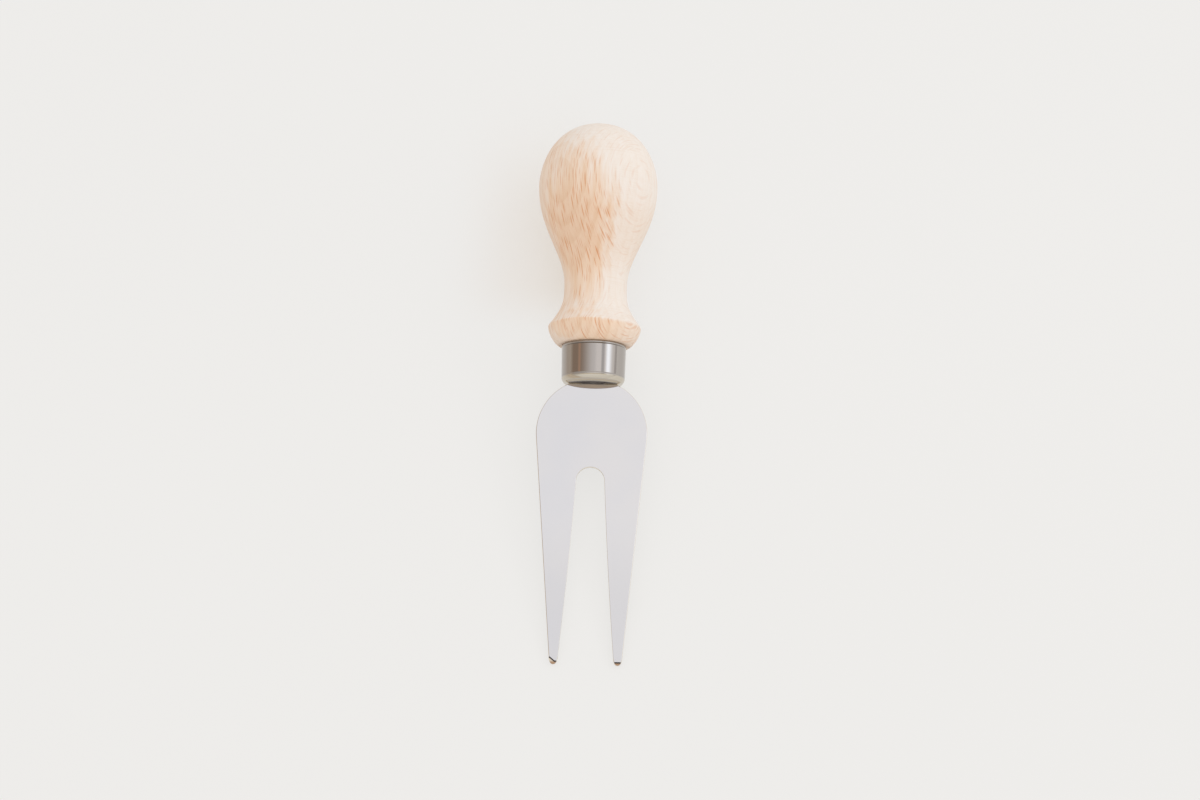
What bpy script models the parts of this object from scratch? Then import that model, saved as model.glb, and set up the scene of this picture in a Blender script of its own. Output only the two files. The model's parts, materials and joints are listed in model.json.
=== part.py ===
"""Two-tined cheese fork: a turned beech handle, a drawn steel ferrule and a stamped steel blade.

The pieces are modelled on one upright axis, with the shoulder of the blade at height 0, the handle above
it and the tines below it, and the blade's front towards -Y. An empty then lays the fork on its back, on
its two tips and the underside of the bulb. Lengths are in metres, +Z is up.
"""
import math

import bmesh
import bpy
from mathutils import Matrix, Vector, geometry

MM = 0.001
WELD = 0.001 * MM

# Fits between the pieces
CLEARANCE = 0.3 * MM

# Blade, cut from flat sheet
SHEET_THICKNESS = 1.5 * MM
TINE_LENGTH = 57.8 * MM        # tips to the root of the slot
PALM_LENGTH = 24.3 * MM        # root of the slot to the shoulder's seat
SHOULDER_RADIUS = 16.1 * MM
SEAT_WIDTH = 14.6 * MM         # flat of the shoulder, against the ferrule
SLOT_WIDTH = 8.2 * MM
TINE_SPACING = 18.5 * MM       # between the centres of the tips
TIP_WIDTH = 2.6 * MM
TIP_LENGTH = 2.2 * MM          # rounded end of a tine
TINE_BELLY = 0.25 * MM         # how far a tine's inner edge bows into the slot
TIP_BEVEL = 1.4 * MM           # ground bevel on the front of a tip
TIP_EDGE = 0.6 * MM            # thickness left at the end of a tip
TANG_WIDTH = 7.0 * MM
TANG_LENGTH = 33.0 * MM
TANG_POINT = 4.0 * MM          # tapered end of the tang

# Ferrule, drawn from sheet
FERRULE_DIAMETER = 18.9 * MM
FERRULE_LENGTH = 11.6 * MM
FERRULE_WALL = 0.9 * MM
FERRULE_CORNER = 2.2 * MM      # rounding of the lower end

# Handle, turned from beech
SEAT_STEP = 0.95 * MM          # how far the collar's seat stands out past the ferrule
COLLAR_HEIGHT = 4.95 * MM      # seat to the ridge of the collar
COLLAR_DIAMETER = 27.0 * MM
FLARE_LENGTH = 12.4 * MM       # ridge to the waist
FLARE_ANGLE = math.radians(37)
WAIST_DIAMETER = 18.2 * MM
NECK_LENGTH = 29.3 * MM        # waist to the widest part of the bulb
BULB_DIAMETER = 34.6 * MM
CROWN_HEIGHT = 19.1 * MM       # widest part to the top

# Fullness of the curves, as shares of the stretch that each one crosses
TIP_END_FULLNESS = 0.67
TIP_SIDE_FULLNESS = 0.50
CROWN_TOP_FULLNESS = 0.74
CROWN_SIDE_FULLNESS = 0.39
NECK_BULB_FULLNESS = 0.43
NECK_WAIST_FULLNESS = 0.32
FLARE_WAIST_FULLNESS = 0.41
FLARE_RIDGE_FULLNESS = 0.58
ROUND_RIDGE_FULLNESS = 0.40
ROUND_SEAT_FULLNESS = 0.33

# Facets
TURN_STEPS = 48
CURVE_POINTS = 9
CORNER_POINTS = 6

BEECH = ("beech", (0.80, 0.63, 0.48), 0.6, 0.0)
FERRULE_STEEL = ("ferrule_steel", (0.45, 0.43, 0.41), 0.2, 1.0)
BLADE_STEEL = ("blade_steel", (0.70, 0.69, 0.70), 0.15, 1.0)

# Heights on the fork's axis
slot_root = -PALM_LENGTH
tip_end = slot_root - TINE_LENGTH
ferrule_end = CLEARANCE
ferrule_floor = ferrule_end + FERRULE_WALL
tenon_end = ferrule_floor + CLEARANCE
ferrule_top = ferrule_end + FERRULE_LENGTH
collar_seat = ferrule_top + CLEARANCE
ridge = collar_seat + COLLAR_HEIGHT
waist = ridge + FLARE_LENGTH
widest = waist + NECK_LENGTH
crown_top = widest + CROWN_HEIGHT

# Radii and half widths
half_sheet = SHEET_THICKNESS / 2
ferrule_radius = FERRULE_DIAMETER / 2
ferrule_bore = ferrule_radius - FERRULE_WALL
bore_corner = max(FERRULE_CORNER - FERRULE_WALL, 2 * CLEARANCE)
tenon_radius = ferrule_bore - CLEARANCE
seat_radius = ferrule_radius + SEAT_STEP
collar_radius = COLLAR_DIAMETER / 2
waist_radius = WAIST_DIAMETER / 2
bulb_radius = BULB_DIAMETER / 2


def clear_scene():
    for old in list(bpy.data.objects):
        bpy.data.objects.remove(old, do_unlink=True)


def collection(name):
    group = bpy.data.collections.new(name)
    bpy.context.scene.collection.children.link(group)
    return group


def finish(name, colour, roughness, metallic):
    material = bpy.data.materials.new(name)
    material.use_nodes = True
    shader = material.node_tree.nodes["Principled BSDF"]
    shader.inputs["Base Color"].default_value = (*colour, 1.0)
    shader.inputs["Roughness"].default_value = roughness
    shader.inputs["Metallic"].default_value = metallic
    return material


def arc(centre, radius, start, end, count):
    """Points on a circle, from one angle to another, both ends included."""
    points = []
    for step in range(count + 1):
        angle = start + (end - start) * step / count
        points.append(centre + radius * Vector((math.cos(angle), math.sin(angle))))
    return points


def bezier(start, start_handle, end_handle, end, count=CURVE_POINTS):
    return geometry.interpolate_bezier(start, start_handle, end_handle, end, count)


def joined(*stretches):
    """One outline from several stretches, without the points that they share."""
    outline = []
    for stretch in stretches:
        for point in stretch:
            if not outline or (point - outline[-1]).length > WELD:
                outline.append(point)
    return outline


def handle_profile():
    """Half section of the handle, from its crown down to the end of the tenon, as (radius, height)."""
    crown = Vector((0, crown_top))
    side = Vector((bulb_radius, widest))
    neck = Vector((waist_radius, waist))
    edge = Vector((collar_radius, ridge))
    seat = Vector((seat_radius, collar_seat))
    up = Vector((0, 1))
    out = Vector((1, 0))
    flare = Vector((-math.sin(FLARE_ANGLE), math.cos(FLARE_ANGLE)))
    rounding = collar_radius - seat_radius
    corner = bore_corner - CLEARANCE
    return joined(
        bezier(crown, crown + out * CROWN_TOP_FULLNESS * bulb_radius,
               side + up * CROWN_SIDE_FULLNESS * CROWN_HEIGHT, side),
        bezier(side, side - up * NECK_BULB_FULLNESS * NECK_LENGTH,
               neck + up * NECK_WAIST_FULLNESS * NECK_LENGTH, neck),
        bezier(neck, neck - up * FLARE_WAIST_FULLNESS * FLARE_LENGTH,
               edge + flare * FLARE_RIDGE_FULLNESS * FLARE_LENGTH, edge),
        bezier(edge, edge - up * ROUND_RIDGE_FULLNESS * COLLAR_HEIGHT,
               seat + out * ROUND_SEAT_FULLNESS * rounding, seat),
        [Vector((tenon_radius, collar_seat))],
        arc(Vector((tenon_radius - corner, tenon_end + corner)), corner, 0, -math.pi / 2, CORNER_POINTS),
        [Vector((0, tenon_end))])


def ferrule_profile():
    """Half section of the cap, from the middle of its floor up the bore, over the lip and down outside."""
    floor = arc(Vector((ferrule_bore - bore_corner, ferrule_floor + bore_corner)), bore_corner,
                -math.pi / 2, 0, CORNER_POINTS)
    lip = arc(Vector((ferrule_bore, ferrule_top - FERRULE_WALL)), FERRULE_WALL,
              math.pi / 2, 0, CORNER_POINTS)
    corner = arc(Vector((ferrule_radius - FERRULE_CORNER, ferrule_end + FERRULE_CORNER)), FERRULE_CORNER,
                 0, -math.pi / 2, CORNER_POINTS)
    return joined([Vector((0, ferrule_floor))], floor, lip, corner, [Vector((0, ferrule_end))])


def tangent_angle(point, radius):
    """Angle where a line from a point below a circle touches its right side, with the centre at 0, 0."""
    return math.atan2(point.y, point.x) + math.acos(radius / point.length)


def blade_outline():
    """Right half of the blade from the root of the slot round to the middle of the tang, then its mirror."""
    tip_centre = Vector((TINE_SPACING / 2, tip_end + TIP_LENGTH))
    inner = tip_centre - Vector((TIP_WIDTH / 2, 0))
    outer = tip_centre + Vector((TIP_WIDTH / 2, 0))
    end = Vector((tip_centre.x, tip_end))
    round_out = Vector((TIP_END_FULLNESS * TIP_WIDTH / 2, 0))
    round_down = Vector((0, TIP_SIDE_FULLNESS * TIP_LENGTH))
    slot_radius = SLOT_WIDTH / 2
    slot_side = Vector((slot_radius, slot_root - slot_radius))
    belly = (slot_side + inner) / 2 - Vector((2 * TINE_BELLY, 0))
    parabola = 2 / 3           # handles this far towards the belly draw a parabola
    shoulder_drop = math.sqrt(SHOULDER_RADIUS ** 2 - (SEAT_WIDTH / 2) ** 2)
    shoulder_centre = Vector((0, -shoulder_drop))
    side_angle = tangent_angle(outer - shoulder_centre, SHOULDER_RADIUS)
    seat_angle = math.atan2(shoulder_drop, SEAT_WIDTH / 2)
    tang = TANG_WIDTH / 2
    right = joined(
        arc(Vector((0, slot_side.y)), slot_radius, math.pi / 2, 0, CURVE_POINTS),
        bezier(slot_side, slot_side.lerp(belly, parabola), inner.lerp(belly, parabola), inner),
        bezier(inner, inner - round_down, end - round_out, end, CORNER_POINTS),
        bezier(end, end + round_out, outer - round_down, outer, CORNER_POINTS),
        arc(shoulder_centre, SHOULDER_RADIUS, side_angle, seat_angle, 2 * CURVE_POINTS),
        [Vector((tang, 0)), Vector((tang, TANG_LENGTH - TANG_POINT)), Vector((tang / 2, TANG_LENGTH))])
    left = [Vector((-point.x, point.y)) for point in reversed(right[1:])]
    return right + left


def turned(name, profile, group):
    """A half section swept once round the Z axis."""
    mesh = bpy.data.meshes.new(name)
    edges = [(index, index + 1) for index in range(len(profile) - 1)]
    mesh.from_pydata([(radius, 0, height) for radius, height in profile], edges, [])
    piece = bpy.data.objects.new(name, mesh)
    group.objects.link(piece)
    screw = piece.modifiers.new("turning", "SCREW")
    screw.steps = TURN_STEPS
    screw.render_steps = TURN_STEPS
    screw.use_merge_vertices = True
    screw.merge_threshold = WELD
    screw.use_smooth_shade = True
    return piece


def sheet(name, outline, group):
    """A flat outline in the XZ plane, given its thickness and made a welded mesh."""
    curve = bpy.data.curves.new(name, "CURVE")
    curve.dimensions = "2D"
    curve.fill_mode = "BOTH"
    curve.extrude = half_sheet
    spline = curve.splines.new("POLY")
    spline.points.add(len(outline) - 1)
    for point, place in zip(spline.points, outline):
        point.co = (place.x, place.y, 0, 1)
    spline.use_cyclic_u = True
    blank = bpy.data.objects.new(name + "_outline", curve)
    blank.rotation_euler.x = math.pi / 2
    group.objects.link(blank)
    graph = bpy.context.evaluated_depsgraph_get()
    mesh = bpy.data.meshes.new_from_object(blank.evaluated_get(graph))
    welder = bmesh.new()
    welder.from_mesh(mesh)
    bmesh.ops.remove_doubles(welder, verts=welder.verts, dist=WELD)
    welder.to_mesh(mesh)
    welder.free()
    piece = bpy.data.objects.new(name, mesh)
    piece.matrix_world = blank.matrix_world
    group.objects.link(piece)
    bpy.data.objects.remove(blank)
    return piece


def block(name, size, centre, group):
    """A cutter box."""
    bpy.ops.mesh.primitive_cube_add(size=1, location=(0, 0, 0))
    cutter = bpy.context.object
    cutter.name = name
    cutter.data.transform(Matrix.Diagonal((*size, 1)))
    cutter.location = centre
    for owner in list(cutter.users_collection):
        owner.objects.unlink(cutter)
    group.objects.link(cutter)
    cutter.hide_render = True
    cutter.display_type = "WIRE"
    return cutter


def cut(piece, cutter):
    boolean = piece.modifiers.new(cutter.name, "BOOLEAN")
    boolean.operation = "DIFFERENCE"
    boolean.solver = "EXACT"
    boolean.object = cutter


def tang_cutter(name, bottom, top, group):
    """The room that the tang needs, from one height to another."""
    size = (TANG_WIDTH + 2 * CLEARANCE, SHEET_THICKNESS + 2 * CLEARANCE, top - bottom)
    return block(name, size, (0, 0, (bottom + top) / 2), group)


def bevel_cutter(group):
    """A block whose underside is the ground plane across the fronts of both tips."""
    rise = SHEET_THICKNESS - TIP_EDGE
    width = TINE_SPACING + 2 * TIP_WIDTH
    depth = 2 * SHEET_THICKNESS
    length = 4 * TIP_BEVEL
    slope = math.atan2(rise, TIP_BEVEL)
    cutter = block("tip_bevel", (width, depth, length), (0, 0, 0), group)
    cutter.rotation_euler.x = slope
    ground = Vector((0, half_sheet - TIP_EDGE, tip_end))
    outward = Vector((0, -math.cos(slope), -math.sin(slope)))
    cutter.location = ground + outward * depth / 2
    return cutter


def lay_down(root, profile):
    """Turn the fork on its back, on its tips and its bulb, with its box centred over the origin."""
    reach = [(radius, height - tip_end) for radius, height in profile]
    tilt = max(math.atan2(radius - half_sheet, length) for radius, length in reach)
    near = math.cos(tilt) * tip_end
    far = max(math.sin(tilt) * radius + math.cos(tilt) * height for radius, height in profile)
    root.rotation_euler.x = tilt - math.pi / 2
    root.location.y = -(near + far) / 2
    root.location.z = math.cos(tilt) * half_sheet - math.sin(tilt) * tip_end


def build():
    clear_scene()
    parts = collection("cheese_fork")
    cutters = collection("cutters")
    root = bpy.data.objects.new("fork_axis", None)
    parts.objects.link(root)

    profile = handle_profile()
    handle = turned("handle", profile, parts)
    mortise_top = TANG_LENGTH + CLEARANCE
    cut(handle, tang_cutter("mortise", ferrule_end, mortise_top, cutters))
    handle.data.materials.append(finish(*BEECH))

    ferrule = turned("ferrule", ferrule_profile(), parts)
    cut(ferrule, tang_cutter("tang_slot", 0, tenon_end, cutters))
    ferrule.data.materials.append(finish(*FERRULE_STEEL))

    blade = sheet("fork_blade", blade_outline(), parts)
    cut(blade, bevel_cutter(cutters))
    blade.data.materials.append(finish(*BLADE_STEEL))

    for piece in [*parts.objects, *cutters.objects]:
        if piece is not root:
            piece.parent = root
    lay_down(root, profile)


build()
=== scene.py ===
import json
import math

import bpy
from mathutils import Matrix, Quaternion, Vector, geometry


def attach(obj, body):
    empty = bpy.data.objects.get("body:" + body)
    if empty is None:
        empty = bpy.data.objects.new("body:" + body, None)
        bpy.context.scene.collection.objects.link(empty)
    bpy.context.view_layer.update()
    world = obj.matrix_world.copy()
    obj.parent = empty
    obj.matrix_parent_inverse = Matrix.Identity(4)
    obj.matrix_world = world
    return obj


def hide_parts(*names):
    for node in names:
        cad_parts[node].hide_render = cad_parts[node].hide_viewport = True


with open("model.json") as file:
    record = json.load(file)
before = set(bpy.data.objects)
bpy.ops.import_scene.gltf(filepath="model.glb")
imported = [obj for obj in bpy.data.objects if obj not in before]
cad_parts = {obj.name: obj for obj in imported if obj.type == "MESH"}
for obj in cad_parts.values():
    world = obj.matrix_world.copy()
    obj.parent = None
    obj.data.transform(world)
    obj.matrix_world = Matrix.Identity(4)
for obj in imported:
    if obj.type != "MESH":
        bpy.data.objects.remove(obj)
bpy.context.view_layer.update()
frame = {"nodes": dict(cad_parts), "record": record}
mm = 0.001
nearby = 0.001 * mm  # points closer than this count as one
print("frame loaded:", sorted(frame["nodes"]))

# how the fork lies: worked out from the mount on the front of the blade
lie = {
    "mountBelowSeat": 18 * mm,  # down the blade from the seat of its shoulder
    "sheet": 1.5 * mm,
}
frontMount = next(mount for mount in frame["record"]["mounts"] if mount["name"] == "blade_front")
frontWay = Vector(frontMount["axis"]).normalized()
rightWay = Vector((1, 0, 0))
handleWay = frontWay.cross(rightWay)
seatPlace = Vector(frontMount["pos_m"]) - frontWay * lie["sheet"] / 2 + handleWay * lie["mountBelowSeat"]
layDown = (math.atan2(handleWay.z, handleWay.y) - math.pi / 2, 0, 0)


# Modelling helpers. Each piece is made upright: seat of the blade at height 0, handle up, front to -Y

def startOutline(name, place):
    bpy.ops.object.select_all(action="DESELECT")
    bpy.ops.mesh.primitive_plane_add(size=mm)
    piece = bpy.context.object
    piece.name = name
    piece.data.name = name
    bpy.ops.object.mode_set(mode="EDIT")
    bpy.ops.mesh.select_mode(type="VERT")
    bpy.ops.mesh.select_all(action="SELECT")
    bpy.ops.mesh.merge(type="CENTER")  # one vertex to draw with
    bpy.ops.transform.translate(value=place)
    return piece


def drawOutline(name, points):
    piece = startOutline(name, points[0])
    for here, there in zip(points, points[1:]):
        bpy.ops.mesh.extrude_region_move(TRANSFORM_OT_translate={"value": there - here})
    return piece


def weld():
    bpy.ops.mesh.select_all(action="SELECT")
    bpy.ops.mesh.remove_doubles(threshold=nearby)
    bpy.ops.mesh.normals_make_consistent(inside=False)


def turnProfile(name, profile, steps):
    piece = drawOutline(name, [Vector((point.x, 0, point.y)) for point in profile])
    bpy.ops.mesh.select_all(action="SELECT")
    bpy.ops.mesh.spin(steps=steps, angle=2 * math.pi, center=(0, 0, 0), axis=(0, 0, 1))
    weld()
    bpy.ops.object.mode_set(mode="OBJECT")
    return piece


def selectEdges(piece, wanted):
    bpy.ops.object.mode_set(mode="EDIT")
    bpy.ops.mesh.select_mode(type="EDGE")
    bpy.ops.mesh.select_all(action="DESELECT")
    bpy.ops.object.mode_set(mode="OBJECT")
    points = piece.data.vertices
    for edge in piece.data.edges:
        edge.select = wanted(points[edge.vertices[0]].co, points[edge.vertices[1]].co)
    bpy.ops.object.mode_set(mode="EDIT")


def cutTangRoom(piece, bottom, top, room):
    bpy.ops.object.select_all(action="DESELECT")
    bpy.ops.mesh.primitive_cube_add(size=1, location=(0, 0, (bottom + top) / 2))
    cutter = bpy.context.object
    cutter.scale = (room["width"], room["depth"], top - bottom)
    bpy.ops.object.transform_apply(location=True, rotation=False, scale=True)
    cut = piece.modifiers.new("tangRoom", "BOOLEAN")
    cut.operation = "DIFFERENCE"
    cut.object = cutter
    bpy.context.view_layer.objects.active = piece
    bpy.ops.object.modifier_apply(modifier=cut.name)
    bpy.data.objects.remove(cutter, do_unlink=True)


def smoothAndLay(piece, sharpAngle):
    bpy.ops.object.select_all(action="DESELECT")
    piece.select_set(True)
    bpy.context.view_layer.objects.active = piece
    bpy.ops.object.shade_smooth_by_angle(angle=sharpAngle)
    even = piece.modifiers.new("evenNormals", "WEIGHTED_NORMAL")
    even.keep_sharp = True
    even.weight = 100  # large faces count most
    bpy.ops.object.modifier_apply(modifier=even.name)
    piece.location = seatPlace
    piece.rotation_euler = layDown
    bpy.ops.object.transform_apply(location=True, rotation=True, scale=True)


def dress(piece, node, material):
    piece.data.materials.clear()
    piece.data.materials.append(material)
    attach(piece, "root")
    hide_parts(node)
    print("made", piece.name, len(piece.data.polygons), "faces")


def bezier(start, startPull, endPull, end, count):
    return geometry.interpolate_bezier(start, startPull, endPull, end, count)


def arc(centre, radius, start, end, count):
    angles = [start + (end - start) * step / count for step in range(count + 1)]
    return [centre + radius * Vector((math.cos(angle), math.sin(angle))) for angle in angles]


def chain(*stretches):
    points = []
    for stretch in stretches:
        for point in stretch:
            if not points or (point - points[-1]).length > nearby:
                points.append(Vector(point))
    return points


# Materials

def addNode(tree, kind, inputs=None, **settings):
    node = tree.nodes.new(kind)
    for name, value in settings.items():
        setattr(node, name, value)
    for name, value in (inputs or {}).items():
        socket = node.inputs[name]
        if isinstance(value, bpy.types.NodeSocket):
            tree.links.new(value, socket)
        else:
            socket.default_value = value
    return node


def mathNode(tree, operation, first, second=0.0, third=0.0, clamp=False):
    node = addNode(tree, "ShaderNodeMath", operation=operation, use_clamp=clamp)
    for socket, value in zip(node.inputs, (first, second, third)):
        if isinstance(value, bpy.types.NodeSocket):
            tree.links.new(value, socket)
        else:
            socket.default_value = value
    return node.outputs[0]


def rampNode(tree, value, low, high, fromValue=0.0, toValue=1.0):
    node = addNode(tree, "ShaderNodeMapRange", interpolation_type="SMOOTHSTEP")
    for name, setting in (("Value", value), ("From Min", low), ("From Max", high),
                          ("To Min", fromValue), ("To Max", toValue)):
        if isinstance(setting, bpy.types.NodeSocket):
            tree.links.new(setting, node.inputs[name])
        else:
            node.inputs[name].default_value = setting
    return node.outputs["Result"]


def mixColour(tree, amount, first, second, blend="MIX"):
    node = addNode(tree, "ShaderNodeMix", data_type="RGBA", blend_type=blend)
    # sockets by number, because the node has its names once for each kind of data
    for socket, value in ((node.inputs[0], amount), (node.inputs[6], first), (node.inputs[7], second)):
        if isinstance(value, bpy.types.NodeSocket):
            tree.links.new(value, socket)
        elif socket.type == "RGBA":
            socket.default_value = (*value, 1)
        else:
            socket.default_value = value
    return node.outputs[2]


def newMaterial(name):
    material = bpy.data.materials.new(name)
    material.use_nodes = True
    tree = material.node_tree
    return material, tree, tree.nodes["Principled BSDF"]


def forkCoordinates(tree):
    place = addNode(tree, "ShaderNodeTexCoord").outputs["Object"]
    upright = addNode(tree, "ShaderNodeMapping", vector_type="TEXTURE", inputs={
        "Vector": place, "Location": seatPlace, "Rotation": layDown})
    return upright.outputs["Vector"]


# Handle
handleSpec = {
    "collarSeat": 11.6 * mm,
    "seatRadius": 10.1 * mm,
    "recessRadius": 9.27 * mm,  # the ferrule's lip goes a little way into the collar
    "recessDepth": 0.35 * mm,
    "collarHeight": 5.55 * mm,
    "collarRadius": 13.48 * mm,
    "flareLength": 12.4 * mm,
    "flareAngle": math.radians(37),
    "waistRadius": 9.1 * mm,
    "neckLength": 29.3 * mm,
    "bulbRadius": 17.3 * mm,
    "crownHeight": 18.99 * mm,
    "tenonRadius": 8.25 * mm,
    "tenonEnd": 1.5 * mm,
    "tenonCorner": 1.0 * mm,
    "mortiseTop": 33.3 * mm,
    "ridgeRound": 0.3 * mm,
    "ridgeSegments": 4,
    # how far each curve keeps its way at both ends, as a share of the stretch
    "crownPulls": (0.74, 0.39),
    "neckPulls": (0.43, 0.32),
    "flarePulls": (0.41, 0.58),
    "collarPulls": (0.40, 0.33),
    "curvePoints": 25,
    "cornerPoints": 6,
    "turnSteps": 160,
    "sharpAngle": math.radians(40),
}
tangRoom = {"width": 7.04 * mm, "depth": 1.54 * mm}


def handleProfile(spec):
    ridge = spec["collarSeat"] + spec["collarHeight"]
    waist = ridge + spec["flareLength"]
    widest = waist + spec["neckLength"]
    crown = Vector((0, widest + spec["crownHeight"]))
    side = Vector((spec["bulbRadius"], widest))
    neck = Vector((spec["waistRadius"], waist))
    edge = Vector((spec["collarRadius"], ridge))
    seat = Vector((spec["seatRadius"], spec["collarSeat"]))
    up = Vector((0, 1))
    out = Vector((1, 0))
    flare = Vector((-math.sin(spec["flareAngle"]), math.cos(spec["flareAngle"])))
    rounding = spec["collarRadius"] - spec["seatRadius"]
    recess = spec["collarSeat"] + spec["recessDepth"]
    corner = spec["tenonCorner"]
    cornerCentre = Vector((spec["tenonRadius"] - corner, spec["tenonEnd"] + corner))

    def curve(name, start, startWay, end, endWay):
        startPull, endPull = spec[name]
        return bezier(start, start + startWay * startPull, end + endWay * endPull, end,
                      spec["curvePoints"])

    return chain(
        curve("crownPulls", crown, out * spec["bulbRadius"], side, up * spec["crownHeight"]),
        curve("neckPulls", side, -up * spec["neckLength"], neck, up * spec["neckLength"]),
        curve("flarePulls", neck, -up * spec["flareLength"], edge, flare * spec["flareLength"]),
        curve("collarPulls", edge, -up * spec["collarHeight"], seat, out * rounding),
        [Vector((spec["recessRadius"], spec["collarSeat"])), Vector((spec["recessRadius"], recess)),
         Vector((spec["tenonRadius"], recess))],
        arc(cornerCentre, corner, 0, -math.pi / 2, spec["cornerPoints"]),
        [Vector((0, spec["tenonEnd"]))])


def makeHandle(spec):
    piece = turnProfile("turnedHandle", handleProfile(spec), spec["turnSteps"])
    ridge = spec["collarSeat"] + spec["collarHeight"]
    selectEdges(piece, lambda one, two: max(abs(one.z - ridge), abs(two.z - ridge)) < nearby)
    bpy.ops.mesh.bevel(offset=spec["ridgeRound"], segments=spec["ridgeSegments"], affect="EDGES")
    bpy.ops.object.mode_set(mode="OBJECT")
    cutTangRoom(piece, 0, spec["mortiseTop"], tangRoom)
    smoothAndLay(piece, spec["sharpAngle"])
    return piece


# Ferrule
ferruleSpec = {
    "end": 0.04 * mm,
    "top": 11.9 * mm,
    "radius": 9.36 * mm,
    "wall": 0.9 * mm,
    "lipRound": Vector((0.45 * mm, 0.9 * mm)),  # inwards and up
    "lipHeight": 1.15 * mm,
    "lowerRadius": 9.2 * mm,  # it tapers a little towards its closed end
    "cornerHeight": 1.76 * mm,
    "cornerPull": Vector((-0.02 * mm, -0.5 * mm)),
    "edge": Vector((8.55 * mm, 0.5 * mm)),  # the corner turns over to the end here
    "edgeWay": Vector((math.cos(math.radians(50)), math.sin(math.radians(50)))),
    "edgePull": 0.4 * mm,
    "endMiddle": 4.0 * mm,  # the middle of the end is barely coned
    "endPull": 1.2 * mm,
    "endSlope": math.tan(math.radians(1.2)),
    "creaseHalf": 0.22 * mm,  # half as wide as the creases
    "lipCrease": 0.21 * mm,
    "cornerCrease": 0.11 * mm,
    "turnSteps": 160,
    "curvePoints": 16,
    "sharpAngle": math.radians(40),
}


def crease(side, height, half, depth):
    bottom = Vector((side - depth, height))
    return [Vector((side, height + half)), bottom, Vector((side, height - half))]


def ferruleEnd(spec):
    edge = spec["edge"]
    coned = Vector((1, spec["endSlope"]))
    tip = Vector((0, spec["end"]))
    middle = tip + coned * spec["endMiddle"]
    edgePull = edge - spec["edgeWay"] * spec["edgePull"]
    return chain(
        bezier(edge, edgePull, middle + coned * spec["endPull"], middle, spec["curvePoints"]),
        [tip])


def ferruleProfile(spec):
    side = spec["radius"]
    floor = spec["end"] + spec["wall"]
    lip = spec["lipRound"]
    lipStart = Vector((side - lip.x, spec["top"] - lip.y))
    inside = side - spec["wall"]
    lower = spec["lowerRadius"]
    half = spec["creaseHalf"]
    corner = Vector((lower, spec["end"] + spec["cornerHeight"]))
    end = ferruleEnd(spec)
    edgePull = end[0] + spec["edgeWay"] * spec["edgePull"]
    count = spec["curvePoints"]
    lipCurve = [lipStart + Vector((lip.x * point.x, lip.y * point.y))
                for point in arc(Vector((0, 0)), 1, math.pi / 2, 0, count)]
    return chain(
        [Vector((0, floor)), Vector((inside, floor)), Vector((inside, spec["top"]))],
        lipCurve,
        crease(side, spec["top"] - spec["lipHeight"], half, spec["lipCrease"]),
        crease(lower, corner.y + half, half, spec["cornerCrease"]),
        bezier(corner, corner + spec["cornerPull"], edgePull, end[0], count),
        end)


def makeFerrule(spec):
    piece = turnProfile("drawnFerrule", ferruleProfile(spec), spec["turnSteps"])
    cutTangRoom(piece, -spec["wall"], 2 * spec["wall"], tangRoom)
    smoothAndLay(piece, spec["sharpAngle"])
    return piece


# Blade
bladeSpec = {
    "tineLength": 57.74 * mm,
    "palmLength": 24.3 * mm,
    "shoulderRadius": 16.1 * mm,
    "seatWidth": 14.6 * mm,
    "seatGap": 0.02 * mm,  # the shoulder is filed to the ferrule's end
    "slotWidth": 8.2 * mm,
    "tineSpacing": 18.5 * mm,
    "tipWidth": 2.6 * mm,
    "tipLength": 2.2 * mm,
    "tipPulls": (0.67, 0.5),  # shares of half its width and of its length
    "tineBelly": 0.25 * mm,
    "bellyPull": 2 / 3,
    "tangWidth": 7 * mm,
    "tangLength": 33 * mm,
    "tangPoint": 4 * mm,
    "rimRound": 0.2 * mm,
    "slotRound": 0.1 * mm,
    "rimSegments": 4,
    "slotPoints": 20,
    "tinePoints": 16,
    "tipPoints": 8,
    "shoulderPoints": 36,
    "sharpAngle": math.radians(30),
    # each tip's front is ground twice, a narrow land over a steep facet: heights above the tip's end
    "landHeight": 0.32 * mm,
    "facetSteep": math.radians(38),
    "leftTip": {"side": -1, "height": 0.95 * mm, "slope": -0.78, "landSteep": math.radians(13.9)},
    "rightTip": {"side": 1, "height": 0.62 * mm, "slope": 0.0, "landSteep": math.radians(11.3)},
}


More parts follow.
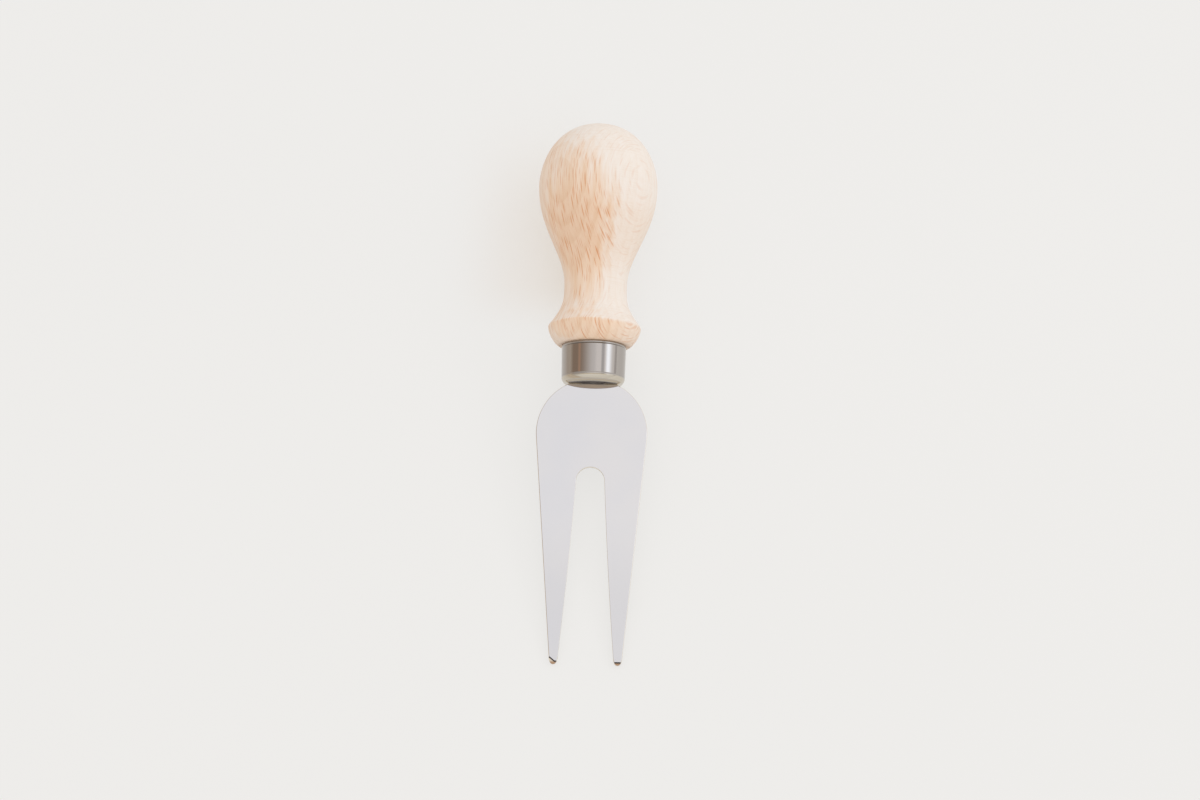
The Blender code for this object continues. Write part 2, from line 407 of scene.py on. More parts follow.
def bladeOutline(spec):
    slotRoot = -spec["palmLength"]
    tipEnd = slotRoot - spec["tineLength"]
    tipMiddle = Vector((spec["tineSpacing"] / 2, tipEnd + spec["tipLength"]))
    halfTip = Vector((spec["tipWidth"] / 2, 0))
    inner = tipMiddle - halfTip
    outer = tipMiddle + halfTip
    end = Vector((tipMiddle.x, tipEnd))
    roundOut = spec["tipPulls"][0] * halfTip
    roundDown = Vector((0, spec["tipPulls"][1] * spec["tipLength"]))
    slotRadius = spec["slotWidth"] / 2
    slotSide = Vector((slotRadius, slotRoot - slotRadius))
    belly = (slotSide + inner) / 2 - Vector((2 * spec["tineBelly"], 0))
    slotPull = slotSide.lerp(belly, spec["bellyPull"])
    innerPull = inner.lerp(belly, spec["bellyPull"])
    shoulder = spec["shoulderRadius"]
    drop = math.sqrt(shoulder ** 2 - (spec["seatWidth"] / 2) ** 2)
    centre = Vector((0, -drop))
    fromCentre = outer - centre
    touch = math.atan2(fromCentre.y, fromCentre.x) + math.acos(shoulder / fromCentre.length)
    tang = spec["tangWidth"] / 2
    lift = Vector((0, -spec["seatGap"]))
    onEnd = [point + lift for point in ferruleEnd(ferruleSpec) if point.x > tang]
    seat = [point for point in onEnd if (point - centre).length < shoulder]
    seatStart = seat[0] - centre
    seatEnd = Vector((tang, ferruleSpec["end"] + tang * ferruleSpec["endSlope"])) + lift
    right = chain(
        arc(Vector((0, slotSide.y)), slotRadius, math.pi / 2, 0, spec["slotPoints"]),
        bezier(slotSide, slotPull, innerPull, inner, spec["tinePoints"]),
        bezier(inner, inner - roundDown, end - roundOut, end, spec["tipPoints"]),
        bezier(end, end + roundOut, outer - roundDown, outer, spec["tipPoints"]),
        arc(centre, shoulder, touch, math.atan2(seatStart.y, seatStart.x), spec["shoulderPoints"]),
        seat,
        [seatEnd, Vector((tang, spec["tangLength"] - spec["tangPoint"])),
         Vector((tang / 2, spec["tangLength"]))])
    left = [Vector((-point.x, point.y)) for point in reversed(right[1:])]
    return right + left


def grindTip(spec, tip, steep, height):
    tipEnd = -spec["palmLength"] - spec["tineLength"]
    onFace = Vector((tip["side"] * spec["tineSpacing"] / 2, -lie["sheet"] / 2, tipEnd + height))
    downFace = Vector((tip["slope"], 0, -1)).normalized()
    outward = Vector((0, -math.cos(steep), 0)) + downFace * math.sin(steep)
    bpy.ops.mesh.select_all(action="SELECT")
    bpy.ops.mesh.bisect(plane_co=onFace, plane_no=outward, threshold=nearby,
                        use_fill=True, clear_outer=True)
    bpy.ops.mesh.mark_sharp()


def makeBlade(spec):
    outline = [Vector((point.x, -lie["sheet"] / 2, point.y)) for point in bladeOutline(spec)]
    piece = drawOutline("forkBlade", outline + outline[:1])
    weld()
    bpy.ops.mesh.edge_face_add()
    bpy.ops.mesh.extrude_region_move(TRANSFORM_OT_translate={"value": (0, lie["sheet"], 0)})
    bpy.ops.mesh.select_all(action="SELECT")
    bpy.ops.mesh.normals_make_consistent(inside=False)
    bpy.ops.object.mode_set(mode="OBJECT")
    slotSide = (spec["tineSpacing"] - spec["tipWidth"]) / 2 + nearby

    def onRim(one, two):
        return abs(abs(one.y) - lie["sheet"] / 2) < nearby and abs(one.y - two.y) < nearby

    def inSlot(one, two):
        between = max(abs(one.x), abs(two.x)) < slotSide
        return between and max(one.z, two.z) < -spec["palmLength"] + nearby

    selectEdges(piece, lambda one, two: onRim(one, two) and not inSlot(one, two))
    bpy.ops.mesh.bevel(offset=spec["rimRound"], segments=spec["rimSegments"], affect="EDGES")
    bpy.ops.object.mode_set(mode="OBJECT")
    selectEdges(piece, lambda one, two: onRim(one, two) and inSlot(one, two))
    bpy.ops.mesh.bevel(offset=spec["slotRound"], segments=spec["rimSegments"], affect="EDGES")
    bpy.ops.mesh.select_mode(type="VERT")
    for tip in (spec["leftTip"], spec["rightTip"]):
        grindTip(spec, tip, tip["landSteep"], tip["height"] + spec["landHeight"])
        grindTip(spec, tip, spec["facetSteep"], tip["height"])
    bpy.ops.object.mode_set(mode="OBJECT")
    smoothAndLay(piece, spec["sharpAngle"])
    return piece


# Finishes
polishSpec = {
    "lineDetail": 4.0,
    "lineMiddle": 0.5,
    "strayScale": 0.7,  # stray scratches are a little longer than the lines
    "strayDetail": 1.0,
    "strayRange": (0.66, 0.74),
}


def polishLineGroup(spec):
    group = bpy.data.node_groups.new("polishLines", "ShaderNodeTree")
    group.interface.new_socket("Vector", in_out="INPUT", socket_type="NodeSocketVector")
    group.interface.new_socket("Spread", in_out="INPUT", socket_type="NodeSocketFloat")
    group.interface.new_socket("Lines", in_out="OUTPUT", socket_type="NodeSocketFloat")
    group.interface.new_socket("Scratches", in_out="OUTPUT", socket_type="NodeSocketFloat")
    entry = addNode(group, "NodeGroupInput")
    leave = addNode(group, "NodeGroupOutput")
    lines = addNode(group, "ShaderNodeTexNoise", {
        "Vector": entry.outputs["Vector"], "Scale": 1.0, "Detail": spec["lineDetail"]})
    spread = mathNode(group, "SUBTRACT", lines.outputs["Fac"], spec["lineMiddle"])
    spread = mathNode(group, "MULTIPLY", spread, entry.outputs["Spread"])
    spread = mathNode(group, "ADD", spread, spec["lineMiddle"], clamp=True)
    group.links.new(spread, leave.inputs["Lines"])
    stray = addNode(group, "ShaderNodeTexNoise", {
        "Vector": entry.outputs["Vector"], "Scale": spec["strayScale"], "Detail": spec["strayDetail"]})
    scratches = rampNode(group, stray.outputs["Fac"], *spec["strayRange"])
    group.links.new(scratches, leave.inputs["Scratches"])
    return group


polishLines = polishLineGroup(polishSpec)

beechLook = {
    "paleColour": (0.87, 0.80, 0.73),
    "tanColour": (0.875, 0.67, 0.50),
    "fleckTint": (0.85, 0.56, 0.39),
    "ringTint": (0.93, 0.86, 0.78),
    "fibreTint": (0.91, 0.80, 0.69),
    "rayTurn": math.radians(42),  # the rays run back to the right of the fork's front
    "driftScale": 45,
    "driftDetail": 1.0,
    "driftReach": (0.8 * mm, 4 * mm, 3 * mm),
    "unevenness": 0.45,
    # which way the tan faces look, left of the front, and how squarely a surface does, from pale to tan
    "frontTurn": math.radians(29),
    "frontShadeTilt": math.radians(8),  # towards the tips, which gives painted shade to the surfaces that face down the fork, away from the light
    "frontFace": (0.48, 0.96),
    # the far left side is tan partly from the grain and partly as painted shade, away from the window
    # light
    "leftTurn": math.radians(75),
    "leftFace": (0.50, 0.90),
    "leftTanAndShade": 0.60,
    "backFace": (0.70, 1.0),
    # painted shade over the grain's tan: the tan in front reaches further round the lower bulb, which
    # faces down the fork away from the light, than round the crown and the foot of the waist
    "frontShadeShifts": ((23.3 * mm, 40 * mm, -0.13, 0.05), (47 * mm, 62 * mm, 0.0, -0.20),
                    (22 * mm, 19.5 * mm, 0.0, 0.13)),
    "lowerBulbShadeTint": (0.97, 0.93, 0.90),  # and is deepest on the lower bulb, as painted shade where it faces down the fork
    "lowerBulbShadeStart": (30 * mm, 38 * mm),
    "lowerBulbShadeEnd": (58 * mm, 47 * mm),
    "lowerBulbShadeLeast": 0.22,  # how tan the painted shade makes the pale wood there
    # below its ridge the collar is tan, partly from its end grain and partly as painted shade on its
    # underside, which faces down the fork
    "collarTanAndShade": (0.95, 0.5),
    "collarWidth": (3 * mm, 11 * mm),  # either side of the middle
    "collarFade": (0.3 * mm, -0.9 * mm),  # above its ridge, from none to full
    "collarFlecks": 0.6,
    "stagger": 3.3,  # how far up the next row of cells starts, for each step across
    # each cell holds a fleck: sizes across the rays, along them and up the grain
    "flecks": {"cell": (0.80 * mm, 7 * mm, 6.8 * mm), "half": (0.19 * mm, 3.4 * mm, 2.9 * mm)},
    "fineFlecks": {"cell": (0.52 * mm, 5 * mm, 4.6 * mm), "half": (0.12 * mm, 2.4 * mm, 1.9 * mm)},
    "fleckSoftness": 0.6,
    "fleckScatter": 0.9,
    "fleckChance": (0.0, 0.8, 0.2, 1.0),  # from faint flecks to full ones
    "fineShare": 0.8,
    "fleckDepth": (0.25, 1.0),  # on the pale wood, on the tan wood
    "ringStep": 2.3 * mm,
    "pithAway": 60 * mm,
    "ringRise": (0.35, 0.9),  # late wood comes slowly and ends at once
    "ringFall": (1.0, 0.92),
    "ringDepth": (0.12, 0.5),
    "bandCell": (1.1 * mm, 2.5 * mm, 24 * mm),
    "fibreCell": (0.26 * mm, 0.6 * mm, 12 * mm),
    "grainDetail": 3.0,
    "streakRange": (0.32, 0.68),
    "streakDepth": (0.22, 0.42),
    "sandingStep": 0.42 * mm,
    "sandingDetail": 2.0,
    "sandingRange": (0.45, 0.75),
    "sandingPatches": (0.35, 0.65),
    "sandingDepth": (0.35, 0.12),
    "roughness": (0.50, 0.66),
    "specular": 0.35,
    "fibreRelief": 0.6,
    "sandingRelief": 0.3,
    "bumpStrength": 0.25,
    "bumpDepth": 0.05 * mm,
}


def scaledBy(tree, vector, cell):
    node = addNode(tree, "ShaderNodeVectorMath", operation="DIVIDE")
    tree.links.new(vector, node.inputs[0])
    node.inputs[1].default_value = cell
    return node.outputs["Vector"]


def stretchedNoise(tree, vector, cell, detail):
    return addNode(tree, "ShaderNodeTexNoise", {
        "Vector": scaledBy(tree, vector, cell), "Scale": 1.0, "Detail": detail}).outputs["Fac"]


def fleckMask(tree, grain, fleck, look):
    place = scaledBy(tree, grain, fleck["cell"])
    cells = addNode(tree, "ShaderNodeTexVoronoi", {
        "Vector": place, "Scale": 1.0, "Randomness": look["fleckScatter"]})
    away = addNode(tree, "ShaderNodeVectorMath", {
        0: place, 1: cells.outputs["Position"]}, operation="SUBTRACT")
    share = tuple(half / size for half, size in zip(fleck["half"], fleck["cell"]))
    reach = addNode(tree, "ShaderNodeVectorMath", {
        0: scaledBy(tree, away.outputs["Vector"], share)}, operation="LENGTH").outputs["Value"]
    shape = rampNode(tree, reach, 1.0, 1.0 - look["fleckSoftness"])
    chance = addNode(tree, "ShaderNodeSeparateColor", {"Color": cells.outputs["Color"]}).outputs["Red"]
    return mathNode(tree, "MULTIPLY", shape, rampNode(tree, chance, *look["fleckChance"]))


def facing(tree, way):
    normal = addNode(tree, "ShaderNodeTexCoord").outputs["Normal"]
    node = addNode(tree, "ShaderNodeVectorMath", operation="DOT_PRODUCT")
    tree.links.new(normal, node.inputs[0])
    node.inputs[1].default_value = way
    return node.outputs["Value"]


def addRelief(tree, shader, relief, look):
    bump = addNode(tree, "ShaderNodeBump", {
        "Height": relief, "Strength": look["bumpStrength"], "Distance": look["bumpDepth"]})
    tree.links.new(bump.outputs["Normal"], shader.inputs["Normal"])


def polishMarks(tree, upright, look):
    marks = addNode(tree, "ShaderNodeGroup", node_tree=polishLines)
    tree.links.new(scaledBy(tree, upright, look["lineCell"]), marks.inputs["Vector"])
    marks.inputs["Spread"].default_value = look["lineSpread"]
    return marks.outputs


def beech(look):
    material, tree, shader = newMaterial("beech")
    upright = forkCoordinates(tree)
    places = addNode(tree, "ShaderNodeSeparateXYZ", {"Vector": upright})
    height = places.outputs["Z"]
    turned = addNode(tree, "ShaderNodeMapping", {
        "Vector": upright, "Rotation": (0, 0, look["rayTurn"])})
    drift = addNode(tree, "ShaderNodeTexNoise", {
        "Vector": upright, "Scale": look["driftScale"], "Detail": look["driftDetail"]})
    drifted = addNode(tree, "ShaderNodeVectorMath", operation="MULTIPLY_ADD")
    tree.links.new(drift.outputs["Color"], drifted.inputs[0])
    drifted.inputs[1].default_value = look["driftReach"]
    tree.links.new(turned.outputs["Vector"], drifted.inputs[2])
    grain = drifted.outputs["Vector"]
    band = stretchedNoise(tree, grain, look["bandCell"], look["grainDetail"])
    fibre = stretchedNoise(tree, grain, look["fibreCell"], look["grainDetail"])

    # the face cut across the rays is tan and flecked, the face along them is pale; the tan also holds
    # painted shade on the sides facing left and down the fork, away from the light
    uneven = mathNode(tree, "MULTIPLY_ADD", band, look["unevenness"], -look["unevenness"] / 2)
    shadeShifted = uneven
    for stretch in look["frontShadeShifts"]:
        shadeShifted = mathNode(tree, "ADD", shadeShifted, rampNode(tree, height, *stretch))

    def face(name, turn, tilt=0.0, most=1.0, spread=uneven):
        level = frontWay * math.cos(turn) - rightWay * math.sin(turn)
        way = level * math.cos(tilt) - handleWay * math.sin(tilt)
        squarely = mathNode(tree, "ADD", spread, facing(tree, way))
        return rampNode(tree, squarely, *look[name], 0.0, most)

    frontFace = face("frontFace", look["frontTurn"], look["frontShadeTilt"], spread=shadeShifted)
    # grain tan and painted shade on the far left side
    leftFace = face("leftFace", look["leftTurn"], most=look["leftTanAndShade"])
    backFace = face("backFace", look["frontTurn"] + math.pi)
    ridge = handleSpec["collarSeat"] + handleSpec["collarHeight"]
    # the collar below its ridge: end-grain tan and painted shade
    collar = rampNode(tree, height, *(ridge + part for part in look["collarFade"]))
    faces = mathNode(tree, "MAXIMUM", mathNode(tree, "MAXIMUM", frontFace, leftFace), backFace)
    fromMiddle = mathNode(tree, "ABSOLUTE", places.outputs["X"])
    collarTanAndShade = rampNode(tree, fromMiddle, *look["collarWidth"], *look["collarTanAndShade"])
    # painted shade, deepest on the lower bulb
    lowerBulbShade = mathNode(tree, "MULTIPLY", rampNode(tree, height, *look["lowerBulbShadeStart"]),
                    rampNode(tree, height, *look["lowerBulbShadeEnd"]))
    tan = mathNode(tree, "MAXIMUM", faces, mathNode(tree, "MULTIPLY", collar, collarTanAndShade))
    tan = mathNode(tree, "MAXIMUM", tan, mathNode(tree, "MULTIPLY", lowerBulbShade, look["lowerBulbShadeLeast"]))
    collarFlecks = mathNode(tree, "MULTIPLY", collar, look["collarFlecks"])
    flecked = mathNode(tree, "MAXIMUM", faces, collarFlecks)
    colour = mixColour(tree, tan, look["paleColour"], look["tanColour"])
    lowerBulbShaded = mathNode(tree, "MULTIPLY", lowerBulbShade, tan)
    colour = mixColour(tree, lowerBulbShaded, colour, look["lowerBulbShadeTint"], "MULTIPLY")

    def depth(name, share=tan):
        return rampNode(tree, share, 0.0, 1.0, *look[name])

    # growth rings, curved round a pith outside the handle
    split = addNode(tree, "ShaderNodeSeparateXYZ", {"Vector": grain})
    fromPith = mathNode(tree, "ADD", split.outputs["Y"], look["pithAway"])
    squares = mathNode(tree, "ADD", mathNode(tree, "POWER", fromPith, 2.0),
                       mathNode(tree, "POWER", split.outputs["X"], 2.0))
    ring = mathNode(tree, "DIVIDE", mathNode(tree, "SQRT", squares), look["ringStep"])
    season = mathNode(tree, "FRACT", ring)
    late = mathNode(tree, "MULTIPLY", rampNode(tree, season, *look["ringRise"]),
                    rampNode(tree, season, *look["ringFall"]))
    rings = mathNode(tree, "MULTIPLY", late, depth("ringDepth"))
    colour = mixColour(tree, rings, colour, look["ringTint"], "MULTIPLY")

    # rays as flecks, in two sizes, and the fibres between them
    step = mathNode(tree, "MULTIPLY", split.outputs["X"], look["stagger"])
    upward = addNode(tree, "ShaderNodeCombineXYZ", {"Z": step}).outputs["Vector"]
    staggered = addNode(tree, "ShaderNodeVectorMath", {0: grain, 1: upward}, operation="ADD")
    flecks = fleckMask(tree, staggered.outputs["Vector"], look["flecks"], look)
    fine = fleckMask(tree, staggered.outputs["Vector"], look["fineFlecks"], look)
    amount = mathNode(tree, "MULTIPLY_ADD", fine, look["fineShare"], flecks, clamp=True)
    amount = mathNode(tree, "MULTIPLY", amount, depth("fleckDepth", flecked))
    colour = mixColour(tree, amount, colour, look["fleckTint"], "MULTIPLY")
    streaks = mathNode(tree, "DIVIDE", mathNode(tree, "ADD", band, fibre), 2)
    shade = mathNode(tree, "MULTIPLY", rampNode(tree, streaks, *look["streakRange"]),
                     depth("streakDepth"))
    colour = mixColour(tree, shade, colour, look["fibreTint"], "MULTIPLY")

    # sanding lines round the handle
    around = addNode(tree, "ShaderNodeTexNoise", noise_dimensions="1D", inputs={
        "W": mathNode(tree, "DIVIDE", height, look["sandingStep"]),
        "Scale": 1.0, "Detail": look["sandingDetail"]}).outputs["Fac"]
    sanding = mathNode(tree, "MULTIPLY", rampNode(tree, around, *look["sandingRange"]),
                       rampNode(tree, band, *look["sandingPatches"]))
    sanding = mathNode(tree, "MULTIPLY", sanding, depth("sandingDepth"))
    colour = mixColour(tree, sanding, colour, look["ringTint"], "MULTIPLY")
    tree.links.new(colour, shader.inputs["Base Color"])

    tree.links.new(rampNode(tree, fibre, 0.0, 1.0, *look["roughness"]), shader.inputs["Roughness"])
    shader.inputs["Specular IOR Level"].default_value = look["specular"]
    relief = mathNode(tree, "MULTIPLY", fibre, look["fibreRelief"])
    relief = mathNode(tree, "SUBTRACT", relief, amount)
    relief = mathNode(tree, "MULTIPLY_ADD", around, look["sandingRelief"], relief)
    addRelief(tree, shader, relief, look)
    return material


bladeLook = {
    "colour": (0.755, 0.742, 0.742),
    "darkColour": (0.725, 0.722, 0.74),
    "tineShadeTint": (0.93, 0.935, 0.945),  # painted shade: the tines' reflection a little darker towards their tips
    "tineShadeHeight": (-38 * mm, -66 * mm),
    "cutReflectionColour": (0.80, 0.72, 0.60),  # painted warm reflection, dimmer than the polished face, on the cut rims and ground tips
    "cutFacing": (0.95, 0.80),  # how squarely the surface faces forward, from polished to cut
    "tipEndShadeColour": (0.50, 0.33, 0.21),  # painted brown shade at the very ends of the tips
    "tipEndShadeHeight": (1.1 * mm, 0.4 * mm),  # above the ends, from none to full
    "cloudScale": 45.0,
    "cloudDetail": 2.0,
    "cloudRange": (0.35, 0.75),
    "lineCell": (0.12 * mm, 0.12 * mm, 9 * mm),
    "lineSpread": 1.2,
    "roughness": 0.035,  # and what lines, scratches and cut rims add to it
    "lineRoughness": 0.05,
    "scratchRoughness": 0.04,
    "cutRoughness": 0.12,
    "bumpStrength": 0.03,
    "bumpDepth": 0.01 * mm,
}


def bladeSteel(look):
    material, tree, shader = newMaterial("bladeSteel")
    upright = forkCoordinates(tree)
    marks = polishMarks(tree, upright, look)
    cloud = addNode(tree, "ShaderNodeTexNoise", {
        "Vector": upright, "Scale": look["cloudScale"], "Detail": look["cloudDetail"]}).outputs["Fac"]
    cloud = rampNode(tree, cloud, *look["cloudRange"])
    colour = mixColour(tree, cloud, look["colour"], look["darkColour"])
    height = addNode(tree, "ShaderNodeSeparateXYZ", {"Vector": upright}).outputs["Z"]
    # painted shade down the tines
    tineShade = rampNode(tree, height, *look["tineShadeHeight"])
    colour = mixColour(tree, tineShade, colour, look["tineShadeTint"], "MULTIPLY")
    # painted reflection on the cut rims and ground tips, and painted shade at the tips' ends
    cut = rampNode(tree, mathNode(tree, "ABSOLUTE", facing(tree, frontWay)), *look["cutFacing"])
    tipEnd = -bladeSpec["palmLength"] - bladeSpec["tineLength"]
    # painted shade at the ends of the tips
    tipEndShade = rampNode(tree, height, *(tipEnd + part for part in look["tipEndShadeHeight"]))
    edge = mixColour(tree, tipEndShade, look["cutReflectionColour"], look["tipEndShadeColour"])
    tree.links.new(mixColour(tree, cut, colour, edge), shader.inputs["Base Color"])
    shader.inputs["Metallic"].default_value = 1
    rough = look["roughness"]
    for mark, share in ((marks["Lines"], "lineRoughness"), (marks["Scratches"], "scratchRoughness"),
                        (cut, "cutRoughness")):
        rough = mathNode(tree, "MULTIPLY_ADD", mark, look[share], rough)
    tree.links.new(rough, shader.inputs["Roughness"])
    addRelief(tree, shader, marks["Lines"], look)
    return material


ferruleLook = {
    "colour": (0.445, 0.412, 0.385),
    # a lighter, warmer band round the lower corner: partly a burnished edge, partly a painted warm
    # reflection
    "burnishAndSheenColour": (0.62, 0.565, 0.475),
    "burnishAndSheenHeight": (2.0 * mm, 1.5 * mm),  # from none to full
    "lineCell": (6 * mm, 6 * mm, 0.10 * mm),
    "lineSpread": 1.2,
    "roughness": 0.05,
    "lineRoughness": 0.06,
    "bumpStrength": 0.05,
    "bumpDepth": 0.01 * mm,
}


def ferruleSteel(look):
    material, tree, shader = newMaterial("ferruleSteel")
    upright = forkCoordinates(tree)
    marks = polishMarks(tree, upright, look)
    height = addNode(tree, "ShaderNodeSeparateXYZ", {"Vector": upright}).outputs["Z"]
    # painted warm reflection, partly burnish, on the ferrule's lower corner
    burnishAndSheen = rampNode(tree, height, *look["burnishAndSheenHeight"])
    colour = mixColour(tree, burnishAndSheen, look["colour"], look["burnishAndSheenColour"])
    tree.links.new(colour, shader.inputs["Base Color"])
    shader.inputs["Metallic"].default_value = 1
    rough = mathNode(tree, "MULTIPLY_ADD", marks["Lines"], look["lineRoughness"], look["roughness"])
    tree.links.new(rough, shader.inputs["Roughness"])
    addRelief(tree, shader, marks["Lines"], look)
    return material


handle = makeHandle(handleSpec)
dress(handle, "handle", beech(beechLook))
ferrule = makeFerrule(ferruleSpec)
dress(ferrule, "ferrule", ferruleSteel(ferruleLook))
blade = makeBlade(bladeSpec)
dress(blade, "fork_blade", bladeSteel(bladeLook))


# Studio: a pale floor, a soft dome and a tall window light on the right
studio = {
    "floorColour": (0.84, 0.83, 0.81),
    "floorGlow": (0.84, 0.84, 0.84),  # share of the floor's brightness that no shadow darkens
    # deeper and warmer shadows to the left of the handle, from none to full at each of their sides
    "shadowGlow": (0.62, 0.53, 0.45),
    "shadowRight": (3 * mm, -10 * mm),
    "shadowLeft": (-46 * mm, -24 * mm),
    "shadowStart": (20 * mm, 38 * mm),
    "shadowEnd": (110 * mm, 70 * mm),
    "floorSize": 30,
    "floorRoughness": 0.7,
    "mottleScale": 6.0,
    "mottleDetail": 2.0,
    "mottleDepth": 0.985,
    "dimFloorTint": (0.76, 0.68, 0.60),  # how reflections see the floor on the dim side
    "dimFloorReach": (-8 * mm, -70 * mm),
    "domeTop": (0.98, 0.97, 0.98),
    "domeSide": (0.84, 0.83, 0.82),
    "windowPlace": Vector((0.97, 0.4, 0.71)),
    "windowSize": (0.32, 1.4),
    "windowPower": 2.6,
}

# what only reflections show: the dim side of the room, the window and a dark card at the camera
mirrored = {
    "dimColour": (0.42, 0.32, 0.25),
    "dimReach": (0.05, -0.85),  # sideways part of the direction, from none to full
    "dimLength": (-0.7, -0.3),  # and its part along the fork
    "shadeColour": (0.55, 0.53, 0.52),  # greyer further along the fork, both ways
    "warmColour": (0.62, 0.42, 0.31),
    "warmPlace": -0.78,
    "warmReach": (0.07, 0.02),
    "warmMiddle": 0.14,
    "warmLength": (0.18, 0.10),
    "hazeColour": (0.62, 0.54, 0.46),  # the dim side is paler close to the floor
    "hazeHeight": (0.24, 0.02),
    "hazeReach": (-0.3, -0.6),
    "brightGain": 1.2,
    "brightReach": (0.0, 0.25),
    "frameColour": (0.74, 0.74, 0.76),
    "framePlace": 0.545,
    "frameReach": (0.11, 0.04),
    "paneColour": (1.05, 1.05, 1.07),
    "panePlace": 0.80,
    "paneReach": (0.16, 0.01),
    "stripLength": (-0.5, -0.1),  # where strips with no length of their own end
    "windowColour": (1.95, 2.1, 2.3),  # the bright part of the pane is only this long
    "windowPlace": 0.80,
    "windowReach": (0.16, 0.01),
    "windowMiddle": 0.18,
    "windowLength": (0.10, 0.06),
    "sillColour": (0.68, 0.66, 0.65),
    "sillPlace": 0.984,
    "sillReach": (0.016, 0.005),
    "creamColour": (0.84, 0.77, 0.65),
    "creamPlace": -0.10,
    "creamReach": (0.11, 0.07),
    "cardTilt": math.radians(23.3),  # from straight up, towards the tips
    "cardWidth": (0.8, 0.6),
    "cardColour": (0.06, 0.05, 0.05),
    "cardPlace": 0.045,
    "cardReach": (0.05, 0.02),
    "secondMirror": 1.5,  # only reflections of reflections show the cloth and its hem
    "clothColour": (0.55, 0.45, 0.36),
    "clothPlace": 0.13,
    "clothReach": (0.06, 0.035),
    "hemColour": (0.24, 0.17, 0.13),
    "hemPlace": 0.25,
    "hemReach": (0.08, 0.05),
}


def palePaint(look):
    colour = look["floorColour"]
    darker = tuple(look["mottleDepth"] * part for part in colour)
    material, tree, shader = newMaterial("palePaint")
    place = addNode(tree, "ShaderNodeTexCoord").outputs["Object"]
    mottle = addNode(tree, "ShaderNodeTexNoise", {
        "Vector": place, "Scale": look["mottleScale"], "Detail": look["mottleDetail"]}).outputs["Fac"]
    paint = mixColour(tree, mottle, colour, darker)
    rays = addNode(tree, "ShaderNodeLightPath")
    parts = addNode(tree, "ShaderNodeSeparateXYZ", {"Vector": place})
    dim = rampNode(tree, parts.outputs["X"], *look["dimFloorReach"])
    dim = mathNode(tree, "MULTIPLY", dim, rays.outputs["Is Glossy Ray"])
    paint = mixColour(tree, dim, paint, look["dimFloorTint"], "MULTIPLY")
    shadow = 1.0
    for axis, side in (("X", "Right"), ("X", "Left"), ("Y", "Start"), ("Y", "End")):
        reach = rampNode(tree, parts.outputs[axis], *look["shadow" + side])
        shadow = mathNode(tree, "MULTIPLY", reach, shadow)
    glow = mixColour(tree, shadow, look["floorGlow"], look["shadowGlow"])
    glow = mixColour(tree, 1.0, paint, glow, "MULTIPLY")
    seen = mathNode(tree, "MAXIMUM", rays.outputs["Is Camera Ray"], rays.outputs["Is Glossy Ray"])
    seen = mathNode(tree, "MAXIMUM", seen, rays.outputs["Is Transmission Ray"])
    glow = mixColour(tree, seen, (0, 0, 0), glow)
    tree.links.new(mixColour(tree, 1.0, paint, glow, "SUBTRACT"), shader.inputs["Base Color"])
    tree.links.new(glow, shader.inputs["Emission Color"])
    shader.inputs["Emission Strength"].default_value = 1
    shader.inputs["Roughness"].default_value = look["floorRoughness"]
    return material


bpy.ops.object.select_all(action="DESELECT")
bpy.ops.mesh.primitive_plane_add(size=studio["floorSize"])
floor = bpy.context.object
floor.name = "floor"
floor.data.materials.append(palePaint(studio))

world = bpy.data.worlds.new("studio")
bpy.context.scene.world = world
world.use_nodes = True
sky = world.node_tree
background = sky.nodes["Background"]
direction = addNode(sky, "ShaderNodeTexCoord").outputs["Generated"]
parts = addNode(sky, "ShaderNodeSeparateXYZ", {"Vector": direction})
sideways = parts.outputs["X"]
dome = mixColour(sky, rampNode(sky, parts.outputs["Z"], 0, 1), studio["domeSide"], studio["domeTop"])

alongFork = addNode(sky, "ShaderNodeVectorMath", operation="DOT_PRODUCT")
sky.links.new(direction, alongFork.inputs[0])
alongFork.inputs[1].default_value = handleWay
lengths = {}
for strip in ("warm", "window"):
    fromMiddle = mathNode(sky, "SUBTRACT", alongFork.outputs["Value"], mirrored[strip + "Middle"])
    lengths[strip] = rampNode(sky, mathNode(sky, "ABSOLUTE", fromMiddle), *mirrored[strip + "Length"])

most = rampNode(sky, lengths["warm"], 0, 1, 1, mirrored["brightGain"])
gain = rampNode(sky, sideways, *mirrored["brightReach"], 1, most)
room = addNode(sky, "ShaderNodeVectorMath", {"Scale": gain}, operation="SCALE")
sky.links.new(dome, room.inputs[0])
lengthways = parts.outputs["Y"]
dim = mathNode(sky, "MULTIPLY", rampNode(sky, sideways, *mirrored["dimReach"]),
               rampNode(sky, lengthways, *mirrored["dimLength"]))
shade = mixColour(sky, lengths["warm"], mirrored["shadeColour"], mirrored["dimColour"])
room = mixColour(sky, dim, room.outputs["Vector"], shade)
seen = rampNode(sky, lengthways, *mirrored["stripLength"])
for strip in ("warm", "frame", "pane", "window", "sill"):
    away = mathNode(sky, "SUBTRACT", sideways, mirrored[strip + "Place"])
    band = rampNode(sky, mathNode(sky, "ABSOLUTE", away), *mirrored[strip + "Reach"])
    band = mathNode(sky, "MULTIPLY", band, lengths.get(strip, seen))
    room = mixColour(sky, band, room, mirrored[strip + "Colour"])
haze = mathNode(sky, "MULTIPLY", rampNode(sky, parts.outputs["Z"], *mirrored["hazeHeight"]),
                rampNode(sky, sideways, *mirrored["hazeReach"]))
room = mixColour(sky, haze, room, mirrored["hazeColour"])
fromCard = addNode(sky, "ShaderNodeVectorMath", operation="DOT_PRODUCT")
sky.links.new(direction, fromCard.inputs[0])
fromCard.inputs[1].default_value = (0, math.cos(mirrored["cardTilt"]), math.sin(mirrored["cardTilt"]))
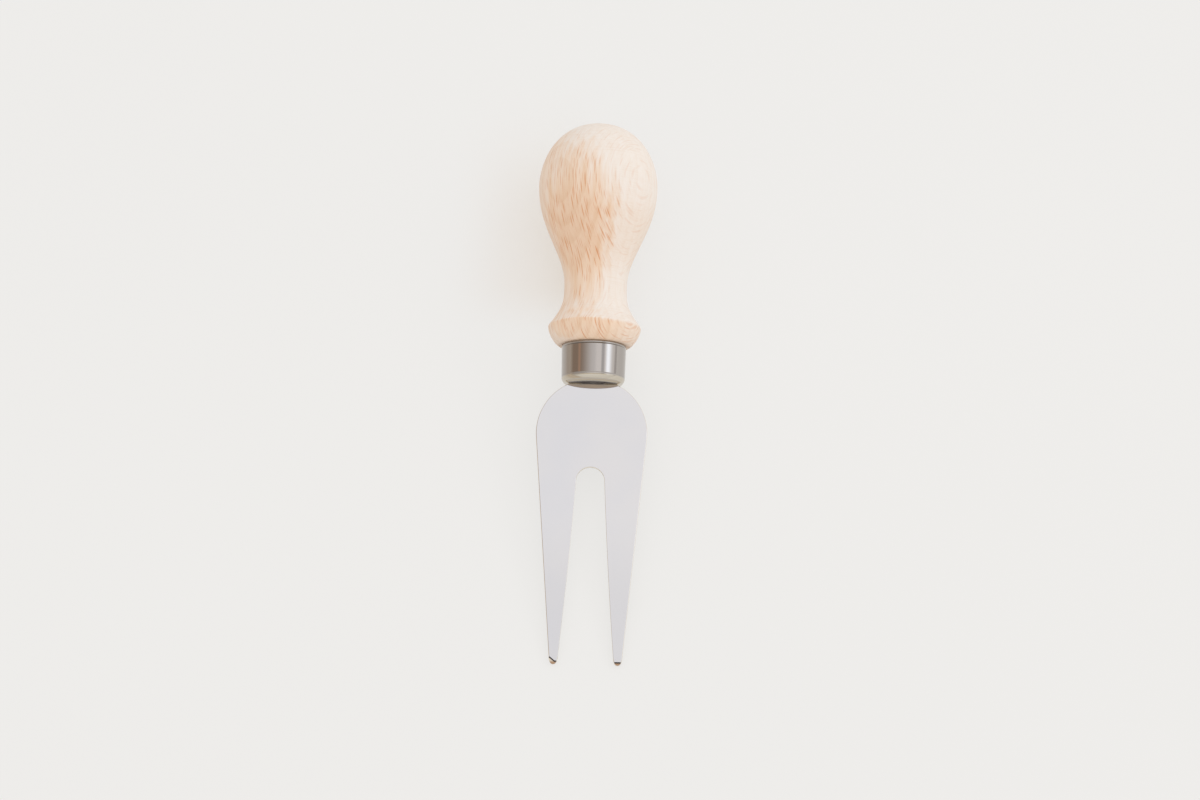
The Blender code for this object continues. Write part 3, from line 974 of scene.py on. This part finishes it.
narrow = rampNode(sky, mathNode(sky, "ABSOLUTE", sideways), *mirrored["cardWidth"])
rays = addNode(sky, "ShaderNodeLightPath")
twice = mathNode(sky, "GREATER_THAN", rays.outputs["Glossy Depth"], mirrored["secondMirror"])
narrowTwice = mathNode(sky, "MULTIPLY", narrow, twice)
widths = {"cloth": narrowTwice, "hem": narrowTwice}
for strip in ("cream", "cloth", "hem", "card"):
    away = mathNode(sky, "SUBTRACT", fromCard.outputs["Value"], mirrored[strip + "Place"])
    band = rampNode(sky, mathNode(sky, "ABSOLUTE", away), *mirrored[strip + "Reach"])
    band = mathNode(sky, "MULTIPLY", band, widths.get(strip, narrow))
    room = mixColour(sky, band, room, mirrored[strip + "Colour"])

dome = mixColour(sky, rays.outputs["Is Glossy Ray"], dome, room)
sky.links.new(mixColour(sky, rays.outputs["Is Camera Ray"], dome, studio["floorColour"]),
              background.inputs["Color"])

bpy.ops.object.light_add(type="AREA", location=studio["windowPlace"])
window = bpy.context.object
window.name = "windowLight"
window.data.shape = "RECTANGLE"
window.data.size = studio["windowSize"][0]
window.data.size_y = studio["windowSize"][1]
window.data.energy = studio["windowPower"]
window.rotation_euler = (-studio["windowPlace"]).to_track_quat("-Z", "X").to_euler()
window.visible_glossy = False  # reflections show the softer window of the surroundings

# Camera: as the photo looks at the fork, its handle leaning away and its top a little to the right
view = {
    "distance": 1.5,
    "elevation": math.radians(70.87),
    "roll": math.radians(1.57),
    "lens": 155.25,
    "aimBelowSeat": 4.34 * mm,
    "aimRight": 2.17 * mm,
}
aim = seatPlace - handleWay * view["aimBelowSeat"] + rightWay * view["aimRight"]
lookWay = Vector((0, math.cos(view["elevation"]), -math.sin(view["elevation"])))
bpy.ops.object.camera_add(location=aim - lookWay * view["distance"])
camera = bpy.context.object
camera.rotation_mode = "QUATERNION"
camera.rotation_quaternion = lookWay.to_track_quat("-Z", "Y") @ Quaternion((0, 0, 1), view["roll"])
camera.data.lens = view["lens"]
bpy.context.scene.camera = camera
bpy.context.scene.view_settings.view_transform = "Standard"
print("studio ready")
